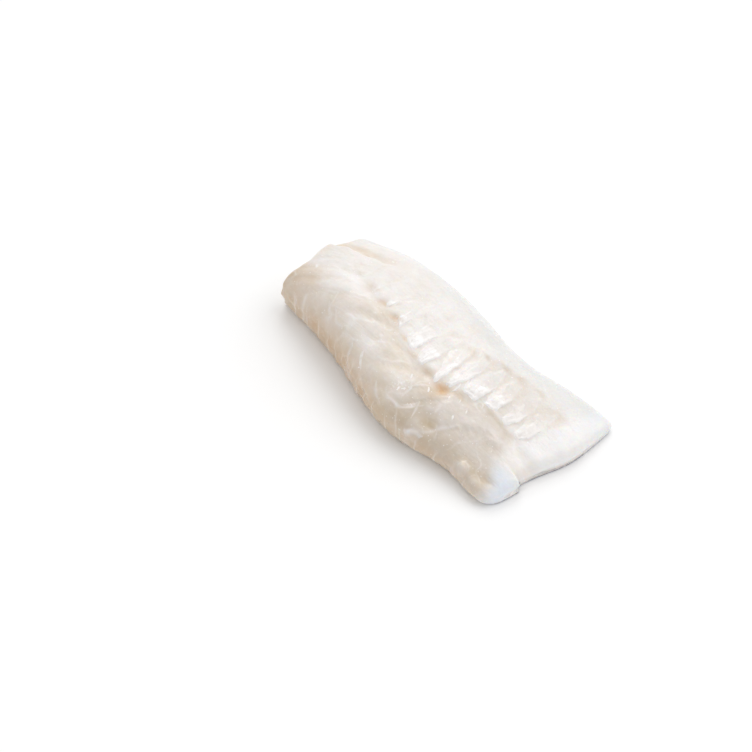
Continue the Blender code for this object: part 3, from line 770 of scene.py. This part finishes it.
# Painted shade: in hollows, in the gaps before the flakes and in the groove.
WARM_SHADE = srgb(226, 212, 193)
FLESH_DEEP = srgb(224, 180, 124)
FLESH_MILK = srgb(249, 246, 246)
# Also the painted highlights, glints and sheen on the flakes.
FLESH_WHITEST_AND_HIGHLIGHT = srgb(254, 253, 253)
FLESH_VEIL = srgb(236, 230, 228)
FLESH_FLAKE = srgb(245, 242, 240)
FLESH_BLUE = srgb(222, 233, 249)
FLESH_RIM = srgb(222, 223, 222)
FLESH_SHADE = srgb(208, 194, 182)
# Also a painted contact shadow along the thin end's lower edge.
SKIN_AND_SHADOW_DARK = srgb(58, 62, 98)
SKIN_SILVER = srgb(190, 195, 204)
MIDLINE_PINK = srgb(214, 182, 168)
SEAM_PITCH = 8.5 * MM              # the folded seams of the skin side
FOLD_SIDE = 12.0 * MM              # and how far across they run before they fold back


def new_material(name):
    """An empty node material with its shader."""
    material = bpy.data.materials.new(name)
    material.use_nodes = True
    return material, material.node_tree, material.node_tree.nodes["Principled BSDF"]


def mask(tree, name):
    """Node that reads one of the mesh's masks."""
    node = tree.nodes.new("ShaderNodeAttribute")
    node.attribute_name = name
    return node.outputs["Fac"]


def place(tree, stretch=(1.0, 1.0, 1.0), turn=(0.0, 0.0, 0.0)):
    """The piece's own metres, turned and then stretched; above 1 makes a pattern finer along that axis."""
    spot = tree.nodes.new("ShaderNodeTexCoord")
    mapping = tree.nodes.new("ShaderNodeMapping")
    mapping.inputs["Scale"].default_value = stretch
    mapping.inputs["Rotation"].default_value = turn
    tree.links.new(spot.outputs["Object"], mapping.inputs["Vector"])
    return mapping.outputs["Vector"]


def noise(tree, scale, detail=3.0, stretch=(1.0, 1.0, 1.0), rough=0.55, turn=(0.0, 0.0, 0.0)):
    """Noise over the piece."""
    node = tree.nodes.new("ShaderNodeTexNoise")
    node.inputs["Scale"].default_value = scale
    node.inputs["Detail"].default_value = detail
    node.inputs["Roughness"].default_value = rough
    tree.links.new(place(tree, stretch, turn), node.inputs["Vector"])
    return node.outputs["Fac"]


def remap(tree, value, low_in, high_in, low_out=0.0, high_out=1.0):
    """Value stretched from one range to another, and held inside it."""
    node = tree.nodes.new("ShaderNodeMapRange")
    node.inputs["From Min"].default_value = low_in
    node.inputs["From Max"].default_value = high_in
    node.inputs["To Min"].default_value = low_out
    node.inputs["To Max"].default_value = high_out
    tree.links.new(value, node.inputs["Value"])
    return node.outputs["Result"]


def calculate(tree, operation, first, second=0.0):
    """Two values put together by a Math node; either may be a number."""
    node = tree.nodes.new("ShaderNodeMath")
    node.operation = operation
    for socket, value in zip(node.inputs, (first, second)):
        if isinstance(value, (int, float)):
            socket.default_value = value
        else:
            tree.links.new(value, socket)
    return node.outputs["Value"]


def tint(tree, base, colour, amount):
    """Colour mixed over `base` by `amount`; `base` is a colour or a socket."""
    node = tree.nodes.new("ShaderNodeMix")
    node.data_type = "RGBA"
    if isinstance(base, tuple):
        node.inputs["A"].default_value = base
    else:
        tree.links.new(base, node.inputs["A"])
    node.inputs["B"].default_value = colour
    tree.links.new(amount, node.inputs["Factor"])
    return node.outputs["Result"]


def folded_seams(tree, wobble):
    """Mask of the W-shaped seams: lines at equal steps along X, folded to and fro across Y."""
    parts = tree.nodes.new("ShaderNodeSeparateXYZ")
    tree.links.new(place(tree), parts.inputs["Vector"])
    fold = calculate(tree, "PINGPONG", calculate(tree, "ADD", parts.outputs["Y"], 4 * FOLD_SIDE), FOLD_SIDE)
    along = calculate(tree, "ADD", parts.outputs["X"], calculate(tree, "MULTIPLY", fold, 0.9))
    along = calculate(tree, "ADD", along, calculate(tree, "MULTIPLY", wobble, 5 * MM))
    away = calculate(tree, "PINGPONG", along, SEAM_PITCH / 2)
    middle = calculate(tree, "ABSOLUTE", calculate(tree, "ADD", parts.outputs["Y"], 3 * MM))
    return remap(tree, away, 0.1 * MM, 0.7 * MM, 1.0, 0.0), remap(tree, middle, 1 * MM, 6 * MM, 1.0, 0.0)


def flesh_look():
    """Node group of the flesh: its colours laid over each other by the masks, wet gloss and relief."""
    tree = bpy.data.node_groups.new("raw_flesh_look", "ShaderNodeTree")
    for name in ("Whiteness", "Fibre Height"):
        tree.interface.new_socket(name, in_out="INPUT", socket_type="NodeSocketFloat")
    kinds = {"Colour": "Color", "Roughness": "Float", "Gloss": "Float", "Normal": "Vector"}
    for name, kind in kinds.items():
        tree.interface.new_socket(name, in_out="OUTPUT", socket_type="NodeSocket" + kind)
    given = tree.nodes.new("NodeGroupInput").outputs
    result = tree.nodes.new("NodeGroupOutput").inputs

    # Patterns: the first number is how many go to a metre; the last three run along X or across.
    cloud = noise(tree, 48.0, detail=4.0)
    block = noise(tree, 75.0, detail=1.0)
    patch = noise(tree, 130.0, detail=3.0)
    mottle = noise(tree, 330.0, detail=4.0, rough=0.6)
    speckle = noise(tree, 1100.0, detail=2.0)
    wet = noise(tree, 140.0, detail=3.0)
    streak = noise(tree, 1.0, detail=4.0, stretch=(40.0, 260.0, 260.0), turn=(0, 0, math.radians(10)))
    fibre = noise(tree, 1.0, detail=3.0, stretch=(90.0, 900.0, 900.0), turn=(0, 0, math.radians(12)))
    strand = noise(tree, 1.0, detail=4.0, stretch=(620.0, 110.0, 620.0), turn=(0, 0, math.radians(-8)))

    def times(first, second):
        """Product of two values."""
        return calculate(tree, "MULTIPLY", first, second)

    def masked(name, pattern, *ranges):
        """A mask times a pattern that is stretched from one range to another."""
        return times(mask(tree, name), remap(tree, pattern, *ranges))

    torn = calculate(tree, "ADD", mask(tree, "tip"), remap(tree, mottle, 0.35, 0.65, -0.45, 0.25))
    striped = times(remap(tree, strand, 0.49, 0.55), remap(tree, torn, 0.40, 0.8))
    # Painted wet glints: white specks over the wet places and glitter on the glossy patch.
    drops = noise(tree, 1300.0, detail=0.0)
    painted_wet_glints = times(remap(tree, drops, 0.76, 0.82, 0.0, 0.8), remap(tree, wet, 0.40, 0.60))
    painted_patch_glints = masked("painted_glints", speckle, 0.56, 0.64)
    seam, midline = folded_seams(tree, cloud)
    backing = calculate(tree, "ADD", mask(tree, "under"), times(mask(tree, "wall"), 0.3))
    ring = calculate(tree, "ADD", mask(tree, "cut"), times(patch, 0.10))
    ring = remap(tree, calculate(tree, "PINGPONG", ring, 0.075), 0.0, 0.03, 0.7, 0.0)

    layers = (
        # The meat all over and the belly side, painted shade in hollows and a painted highlight on ridges,
        # the low belly wall's beige with painted shade and painted warm reflected light, and the back's
        # rim.
        (FLESH_CREAM, remap(tree, cloud, 0.42, 0.62, 0.0, 0.6)),
        (FLESH_PINK, remap(tree, patch, 0.48, 0.70, 0.0, 0.35)),
        (FLESH_CLEAR, masked("belly", cloud, 0.35, 0.65, 0.7, 1.0)),
        (FLESH_OLIVE, masked("belly", block, 0.48, 0.66, 0.0, 0.4)),
        (FLESH_DUSK, times(mask(tree, "dusk"), 0.6)),
        (WARM_SHADE, remap(tree, mask(tree, "hollow"), 0.1, 1.0, 0.0, 0.17)),
        (FLESH_MILK, remap(tree, mask(tree, "ridge"), 0.1, 1.0, 0.0, 0.14)),
        (FLESH_SIDE_TONE_AND_SHADE, masked("side", patch, 0.3, 0.7, 0.7, 1.0)),
        (FLESH_RIM, times(mask(tree, "back"), 0.8)),
        # Painted shade in the gaps before the flakes and in the groove, beige patches that are partly
        # painted shade, orange depths, and milky places.
        (WARM_SHADE, masked("groove_and_gap_shade", patch, 0.35, 0.6, 0.55, 1.0)),
        (FLESH_BEIGE_AND_SHADE, times(mask(tree, "beige"), 0.5)),
        (FLESH_DEEP, masked("deep", patch, 0.3, 0.65, 0.4, 0.65)),
        (FLESH_MILK, masked("milky", streak, 0.40, 0.62, 0.2, 0.8)),
        (FLESH_MILK, masked("pale", patch, 0.35, 0.65, 0.3, 0.9)),
        (FLESH_SHADE, remap(tree, speckle, 0.52, 0.78, 0.0, 0.16)),
        (FLESH_MILK, remap(tree, mottle, 0.50, 0.28, 0.0, 0.15)),
        # The flakes: a veil over them, white torn tips with strands and grain under painted wet sheen,
        # painted highlights along their edges, and painted wet glints.
        (FLESH_VEIL, times(mask(tree, "veil"), 0.4)),
        (FLESH_FLAKE, remap(tree, torn, 0.25, 0.65, 0.0, 0.75)),
        (FLESH_WHITEST_AND_HIGHLIGHT, times(striped, 0.65)),
        (FLESH_SHADE, masked("tip", speckle, 0.46, 0.34, 0.0, 0.30)),
        (FLESH_WHITEST_AND_HIGHLIGHT, masked("lip", mottle, 0.40, 0.58, 0.3, 1.0)),
        (FLESH_WHITEST_AND_HIGHLIGHT, calculate(tree, "MAXIMUM", painted_wet_glints, painted_patch_glints)),
        # The thin end, white and bluish over a torn edge of dark skin; the same dark paints a contact
        # shadow along the rest of its lower edge.
        (FLESH_WHITEST_AND_HIGHLIGHT, times(mask(tree, "white_end"), 0.27)),
        (FLESH_BLUE, times(mask(tree, "blue_end"), 0.6)),
        (SKIN_AND_SHADOW_DARK, masked("skin", mottle, 0.35, 0.55, 0.5, 1.0)),
        # The underside's silvery film, midline and folded seams, and the cut face's rings.
        (SKIN_SILVER, masked("under", block, 0.40, 0.62, 0.15, 0.75)),
        (MIDLINE_PINK, times(mask(tree, "under"), midline)),
        (FLESH_MILK, times(seam, calculate(tree, "MINIMUM", backing, 0.8))),
        (FLESH_CLEAR, remap(tree, mask(tree, "cut"), 0.0, 0.2, 0.0, 0.6)),
        (FLESH_MILK, times(ring, remap(tree, mask(tree, "cut"), 0.02, 0.10))),
        (FLESH_WHITEST_AND_HIGHLIGHT, given["Whiteness"]),
    )
    colour = FLESH_WHITE
    for tone, amount in layers:
        colour = tint(tree, colour, tone, amount)
    tree.links.new(colour, result["Colour"])

    strands = tree.nodes.new("ShaderNodeMix")
    for socket, value in zip(("Factor", "A", "B"), (mask(tree, "veil"), fibre, strand)):
        tree.links.new(value, strands.inputs[socket])
    height = times(strands.outputs["Result"], given["Fibre Height"])
    height = calculate(tree, "ADD", height, times(speckle, 0.4))
    height = calculate(tree, "ADD", height, times(mottle, 0.5))
    height = times(height, remap(tree, mask(tree, "wall"), 0.3, 1.0, 1.0, 0.35))
    lift = tree.nodes.new("ShaderNodeBump")
    lift.inputs["Strength"].default_value = 0.35
    lift.inputs["Distance"].default_value = 0.4 * MM
    tree.links.new(height, lift.inputs["Height"])
    tree.links.new(lift.outputs["Normal"], result["Normal"])
    rough = remap(tree, wet, 0.35, 0.65, 0.20, 0.42)
    rough = calculate(tree, "MAXIMUM", rough, times(mask(tree, "dull"), 0.5))
    tree.links.new(rough, result["Roughness"])
    glaze = times(mask(tree, "tip"), 0.5)
    gloss = calculate(tree, "MAXIMUM", remap(tree, wet, 0.4, 0.65, 0.6, 0.15), glaze)
    tree.links.new(times(gloss, remap(tree, mask(tree, "dull"), 0.0, 1.0, 1.0, 0.35)), result["Gloss"])
    return tree


look = flesh_look()


def flesh_material(name, depth, clarity, whiteness, fibre_height):
    """Flesh that light goes `depth` metres into, by the share `clarity` of it."""
    material, tree, shader = new_material(name)
    group = tree.nodes.new("ShaderNodeGroup")
    group.node_tree = look
    group.inputs["Whiteness"].default_value = whiteness
    group.inputs["Fibre Height"].default_value = fibre_height
    for output, socket in (("Colour", "Base Color"), ("Roughness", "Roughness"),
                           ("Gloss", "Coat Weight"), ("Normal", "Normal")):
        tree.links.new(group.outputs[output], shader.inputs[socket])
    shader.inputs["Coat Roughness"].default_value = 0.12
    shader.inputs["Coat IOR"].default_value = 1.36
    shader.inputs["Subsurface Weight"].default_value = clarity
    shader.inputs["Subsurface Radius"].default_value = (1.0, 0.72, 0.5)
    shader.inputs["Subsurface Scale"].default_value = depth
    shader.inputs["IOR"].default_value = 1.38
    return material


centre = np.zeros(2)
x, y, z, masks = loin_surface()
points = to_frame(x, y, z)
centre = (points[..., :2].min(axis=(0, 1)) + points[..., :2].max(axis=(0, 1))) / 2
low, high = (np.array(corner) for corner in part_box("cod_loin"))
points = np.clip(to_frame(x, y, z), low, high)
loin = closed_tube("cod_loin_flesh", points, masks)
carried(loin)
loin.data.materials.append(flesh_material("raw_cod_flesh", 2.2 * MM, 0.6, 0.0, 1.0))


# 5. The loose flake sheets ------------------------------------------------------------------
# The free end of each flake is a thin white sheet of fibres that lies over the flake in front,
# stands a little proud of it and ends in a torn edge. It grows out of the flesh behind it.

# For each flake from the third: reach behind the edge at the tip and at the far end, in
# millimetres, share of the flake's length, and curl of the edge in millimetres.
SHEETS = np.array([
    (3.0, 3.6, 0.75, 0.05),
    (4.0, 5.0, 0.70, 0.08),
    (7.0, 10.5, 0.80, 0.12),
    (6.0, 8.0, 0.80, 0.12),
    (3.0, 4.0, 0.80, 0.25),
    (3.8, 4.4, 0.78, 0.25),
    (7.0, 5.6, 0.70, 0.18),
    (6.0, 5.2, 0.70, 0.16),
    (4.6, 5.4, 0.62, 0.12),
    (5.4, 5.8, 0.62, 0.12),
])
SHEET_ROWS = 110
SHEET_COLUMNS = 34
SHEET_OVER = -0.05 * MM            # how far a sheet stands out past the step under it
SHEET_RIDE = 0.07 * MM             # and how far it lies over it
SHEET_EDGE = 0.30 * MM             # depth of its edge, most of it sunk in the flesh
EDGE_SPREAD = 0.15 * MM            # how far the edge slopes out on the way down
SHEET_BODY = 0.60 * MM
EDGE_ROUND = 0.15 * MM             # the edge turns down over this width
CORNER_RADIUS = 0.5 * MM
TEAR = 0.45 * MM
FIBRE_HEIGHT = 0.06 * MM
SHARP_ANGLE = math.radians(40)     # a crisp edge all round


def flake_sheet(flake, melts, reach_tip, reach_top, share, curl, seed):
    """Net of one sheet: rows from its tip to where it sinks in, and the masks on it.

    A row goes from the sunk back margin over the top to the free edge, and back underneath. The
    top is the ground plus the flake's own slope plus a small rise, which turns down at the torn
    edge and dips under the flesh at the sunk margins. The edge slopes out and down into the flesh,
    and the bottom lies inside it.
    """
    tip_y, length, lift = flake[[1, 4, 7]]
    row = np.linspace(0, 1, SHEET_ROWS)[:, None] ** 1.15
    column = np.linspace(1, 0, SHEET_COLUMNS)[None, :]
    reach = (reach_tip + (reach_top - reach_tip) * row) * MM
    from_edge = column * reach
    teeth = np.abs(swell(from_edge, 0 * row, 3.4 * MM, 1.2 * MM, seed, count=6)) - 0.4
    tear = TEAR * teeth * np.exp(-row * length / (2 * MM))
    corners = rounding(from_edge, CORNER_RADIUS) + rounding(reach - from_edge, CORNER_RADIUS)
    behind = from_edge - SHEET_OVER
    y = tip_end(flake, behind) - SHEET_OVER + corners * (1 - row) ** 6 + tear + row * share * length
    x = free_edge(flake, y) - behind
    stray_x, stray_y = wander(x, y)
    x, y = x - stray_x, y - stray_y
    sunk = np.maximum(ease((column - 0.55) / 0.45), ease((row - 0.45) / 0.55))
    rim = np.minimum(from_edge, row * share * length + 0 * column)
    body, upward = smooth_top(x, y)
    fibres = swell(x, 0.18 * y, 1.8 * MM, 0.6 * MM, seed + 3, count=12)
    rise = flake_rise(lift, behind, row * share * length) * melted(row * share, melts)
    rise += SHEET_RIDE * (1 - 4 * sunk)
    rise -= SHEET_RIDE * np.exp(-(rim / EDGE_ROUND) ** 2)
    rise += curl * MM * bump(rim - 0.6 * MM, 0.5 * MM) * (1 - sunk)
    top = body + upward * (ground(x, y) + rise + FIBRE_HEIGHT * fibres * (1 - sunk))
    bottom = top - SHEET_EDGE - SHEET_BODY * (1 - np.exp(-rim / (1.1 * MM)))
    inside_x = x - np.maximum(0.6 * MM - behind, 0)
    inside_y = y + np.maximum(0.6 * MM - row * share * length, 0)
    masks = relief(inside_x, inside_y)[1]
    strength = min(MARK_PER_LIFT * lift, 1)
    # A painted highlight along the sheet's torn edge.
    masks["lip"] = np.exp(-rim / LIT_RIM_WIDTH) * (1 - ease((row - 0.35) / 0.4)) * strength
    masks = {key: np.concatenate([values, values[:, ::-1]], axis=1) for key, values in masks.items()}
    foot_x = x + EDGE_SPREAD * np.exp(-from_edge / EDGE_SPREAD)
    foot_y = y - EDGE_SPREAD * np.exp(-row * share * length / EDGE_SPREAD)
    loop_x = np.concatenate([x, foot_x[:, ::-1]], axis=1)
    loop_y = np.concatenate([y, foot_y[:, ::-1]], axis=1)
    loop_z = np.concatenate([top, bottom[:, ::-1]], axis=1)
    return to_frame(loop_x, loop_y, loop_z), masks


nets = [flake_sheet(flake, melts, *sheet, seed=60 + 5 * number)
        for number, (flake, melts, sheet) in enumerate(zip(FLAKES[2:], MELTS_FROM[2:], SHEETS))]
sheet_points = np.stack([net[0] for net in nets])
sheet_masks = {key: np.stack([net[1][key] for net in nets]) for key in nets[0][1]}
sheets = closed_tube("flake_sheets", sheet_points, sheet_masks)
sheets.data.set_sharp_from_angle(angle=SHARP_ANGLE)
sheets.data.materials.append(flesh_material("flake_flesh", 0.5 * MM, 0.0, 0.0, 1.6))
sheets.visible_shadow = sheets.visible_diffuse = False      # light goes through them into the flesh
carried(sheets)


# 6. Threads and shreds ----------------------------------------------------------------------
# Thin shreds of the membrane that held the flakes together lie wet on the flesh: curled bits
# along the seam and a few threads on the belly side.

# Three points (x, y) each, half width and height, in millimetres.
SHREDS = np.array([
    (27.6, -12.6, 28.9, -15.2, 28.5, -18.0, 0.50, 0.35),
    (27.9, -7.5, 29.4, -11.0, 31.0, -14.0, 0.40, 0.25),
    (-9.4, -31.8, -8.2, -34.4, -4.6, -37.4, 0.60, 0.28),
    (12.6, -25.0, 13.6, -26.0, 14.6, -27.6, 0.34, 0.18),
    (21.8, -24.0, 22.9, -25.0, 24.0, -26.4, 0.45, 0.22),
    (30.3, -20.3, 31.0, -21.4, 31.7, -22.8, 0.38, 0.18),
    (33.6, -17.4, 34.2, -18.2, 35.0, -19.4, 0.26, 0.14),
    (39.8, -19.6, 40.3, -20.5, 41.0, -21.6, 0.36, 0.18),
    (38.8, -26.0, 39.4, -26.8, 40.1, -27.9, 0.45, 0.24),
    (40.4, -11.6, 41.0, -12.6, 41.8, -14.0, 0.42, 0.22),
    (-3.4, -13.4, -3.0, -14.2, -2.4, -15.4, 0.45, 0.25),
    (18.2, -17.0, 18.9, -18.6, 18.8, -20.6, 0.36, 0.25),
    (-20.2, -7.6, -19.4, -9.2, -19.8, -11.2, 0.40, 0.22),
    (-11.0, -10.6, -10.0, -12.4, -8.8, -14.0, 0.50, 0.25),
]) * MM
SHRED_RINGS = 26
SHRED_ROUND = 7


def shred(row):
    """Net of one thread: rings along the bend, each an arch that drapes over the flesh."""
    ends, width, height = row[:6], row[6], row[7]
    line = bend_through(ends, SHRED_RINGS)
    ahead = np.gradient(line, axis=0)
    side = np.stack([-ahead[:, 1], ahead[:, 0]], axis=1) / np.linalg.norm(ahead, axis=1, keepdims=True)
    taper = np.sqrt(np.sin(np.pi * np.linspace(0.02, 0.98, SHRED_RINGS)))[:, None]
    arch = np.linspace(0, math.pi, SHRED_ROUND)
    out = np.concatenate([np.cos(arch), np.cos(arch[1:-1])[::-1]])[None, :] * width * taper
    over = np.concatenate([np.sin(arch), 0 * arch[1:-1] - 0.6])[None, :] * height * taper
    x = line[:, :1] + side[:, :1] * out
    y = line[:, 1:] + side[:, 1:] * out
    body, upward = smooth_top(x, y)
    rise, masks = relief(x, y)
    z = body + upward * rise + over
    masks["tip"] = np.maximum(masks["tip"], 0.5)
    return to_frame(x, y, z), masks


nets = [shred(row) for row in SHREDS]
shred_points = np.stack([net[0] for net in nets])
shred_masks = {key: np.stack([net[1][key] for net in nets]) for key in nets[0][1]}
shreds = closed_tube("membrane_shreds", shred_points, shred_masks)
shreds.data.set_sharp_from_angle(angle=SHARP_ANGLE)
shreds.data.materials.append(flesh_material("membrane", 0.3 * MM, 0.0, 0.1, 0.6))
shreds.visible_shadow = shreds.visible_diffuse = False
carried(shreds)


# 7. The table and the light -----------------------------------------------------------------
# A plain pale table top, wide soft light from above and from the back's side, and a camera that
# looks down on the thin end from the belly side.

FLOOR_SIDE = 6.0
FLOOR_COLOUR = srgb(250, 250, 250)


def square(name, side):
    """A flat square on the ground, centred, facing up."""
    half = side / 2
    mesh = bpy.data.meshes.new(name)
    corners = [(-half, -half, 0), (half, -half, 0), (half, half, 0), (-half, half, 0)]
    mesh.from_pydata(corners, [], [(0, 1, 2, 3)])
    piece = bpy.data.objects.new(name, mesh)
    bpy.context.collection.objects.link(piece)
    return piece


floor = square("table_top", FLOOR_SIDE)
material, tree, shader = new_material("pale_table")
shader.inputs["Base Color"].default_value = FLOOR_COLOUR
shader.inputs["Roughness"].default_value = 0.9
shader.inputs["Specular IOR Level"].default_value = 0.1
floor.data.materials.append(material)


def aim(piece, place, target):
    """Puts a light or the camera at `place`, looking at `target` with its top up."""
    place, target = np.array(place), np.array(target)
    back = (place - target) / np.linalg.norm(place - target)
    right = np.cross((0.0, 0.0, 1.0), back)
    right /= np.linalg.norm(right)
    up = np.cross(back, right)
    turn = np.stack([right, up, back], axis=1)
    matrix = np.eye(4)
    matrix[:3, :3] = turn
    matrix[:3, 3] = place
    piece.matrix_world = mathutils.Matrix(matrix.tolist())


def soft_light(name, toward, spread, power, colour=(1.0, 1.0, 1.0)):
    """Light from far away in the direction `toward`, as soft as a panel `spread` degrees across."""
    light = bpy.data.lights.new(name, "SUN")
    light.angle = math.radians(spread)
    light.energy = power
    light.color = colour
    piece = bpy.data.objects.new(name, light)
    bpy.context.collection.objects.link(piece)
    aim(piece, toward, (0.0, 0.0, 0.0))


soft_light("key_light", (0.35, 0.63, 0.80), 50, 0.80, (1.0, 0.995, 0.985))
soft_light("back_light", (-0.57, 0.53, 0.70), 34, 0.66)
soft_light("glint_light", (-0.50, 0.10, 0.86), 8, 0.12)

world = bpy.data.worlds.new("studio")
world.use_nodes = True
backdrop = world.node_tree.nodes["Background"]
backdrop.inputs["Color"].default_value = (1.0, 1.0, 1.0, 1.0)
backdrop.inputs["Strength"].default_value = 0.705
bpy.context.scene.world = world
bpy.context.scene.view_settings.view_transform = "Standard"

CAMERA_AZIMUTH = math.radians(47.43)
CAMERA_TILT = math.radians(46.96)
CAMERA_DISTANCE = 0.65
CAMERA_TARGET = np.array([-14.96, -16.51, 0.0]) * MM
PIXELS_PER_METRE = 2260.0
FRAME_PIXELS = 752

lens = bpy.data.cameras.new("camera")
lens.sensor_width = 36.0
lens.lens = lens.sensor_width * PIXELS_PER_METRE * CAMERA_DISTANCE / FRAME_PIXELS
camera = bpy.data.objects.new("camera", lens)
bpy.context.collection.objects.link(camera)
level = math.cos(CAMERA_TILT)
toward = (level * math.sin(CAMERA_AZIMUTH), -level * math.cos(CAMERA_AZIMUTH), math.sin(CAMERA_TILT))
aim(camera, CAMERA_TARGET + CAMERA_DISTANCE * np.array(toward), CAMERA_TARGET)
bpy.context.scene.camera = camera

bpy.context.view_layer.update()
